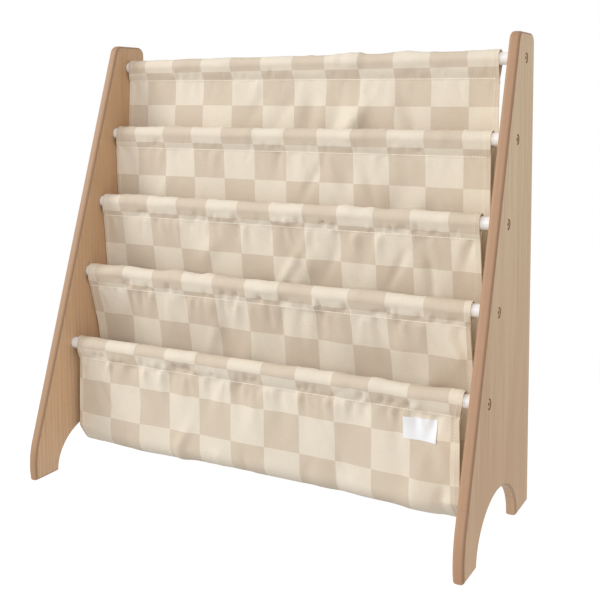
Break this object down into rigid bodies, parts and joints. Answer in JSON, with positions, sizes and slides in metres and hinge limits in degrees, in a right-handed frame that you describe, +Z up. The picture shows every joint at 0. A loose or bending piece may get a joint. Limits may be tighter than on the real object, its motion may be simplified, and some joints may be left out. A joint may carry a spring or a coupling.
{
  "type": "sling bookshelf",
  "caption": "Children's sling bookshelf: leaning wooden side panels joined by bolted round rods, with stepped cloth pockets slung between them.",
  "frame": {"origin": "on the floor, in the middle of the rack's footprint", "axes": "+X along the rods towards the right side panel as seen from the front, +Y towards the back, +Z up"},
  "size_m": [0.62, 0.2524, 0.598],
  "materials": {
    "panel_wood": "satin clear-coated pale hardwood",
    "rod_coat": "satin white coating",
    "insert_steel": "zinc plated",
    "bolt_steel": "bronzed",
    "sling_canvas": "woven canvas in a two-tone check",
    "label_tape": "white woven tape, blank"
  },
  "bodies": {
    "root": {"side_panel_left": "panel_wood", "side_panel_right": "panel_wood", "rod_1": "rod_coat", "rod_2": "rod_coat", "rod_3": "rod_coat", "rod_4": "rod_coat", "rod_5": "rod_coat", "rod_insert_left_1": "insert_steel", "rod_insert_left_2": "insert_steel", "rod_insert_left_3": "insert_steel", "rod_insert_left_4": "insert_steel", "rod_insert_left_5": "insert_steel", "rod_insert_right_1": "insert_steel", "rod_insert_right_2": "insert_steel", "rod_insert_right_3": "insert_steel", "rod_insert_right_4": "insert_steel", "rod_insert_right_5": "insert_steel", "socket_bolt_left_1": "bolt_steel", "socket_bolt_left_2": "bolt_steel", "socket_bolt_left_3": "bolt_steel", "socket_bolt_left_4": "bolt_steel", "socket_bolt_left_5": "bolt_steel", "socket_bolt_right_1": "bolt_steel", "socket_bolt_right_2": "bolt_steel", "socket_bolt_right_3": "bolt_steel", "socket_bolt_right_4": "bolt_steel", "socket_bolt_right_5": "bolt_steel", "rod_sleeve_1": "sling_canvas", "rod_sleeve_2": "sling_canvas", "rod_sleeve_3": "sling_canvas", "rod_sleeve_4": "sling_canvas", "rod_sleeve_5": "sling_canvas", "pocket_back_1": "sling_canvas", "pocket_back_2": "sling_canvas", "pocket_back_3": "sling_canvas", "pocket_back_4": "sling_canvas", "pocket_fold_1": "sling_canvas", "pocket_fold_2": "sling_canvas", "pocket_fold_3": "sling_canvas", "pocket_fold_4": "sling_canvas", "pocket_front_1": "sling_canvas", "pocket_front_2": "sling_canvas", "pocket_front_3": "sling_canvas", "pocket_front_4": "sling_canvas", "blank_label": "label_tape"}
  },
  "joints": []
}
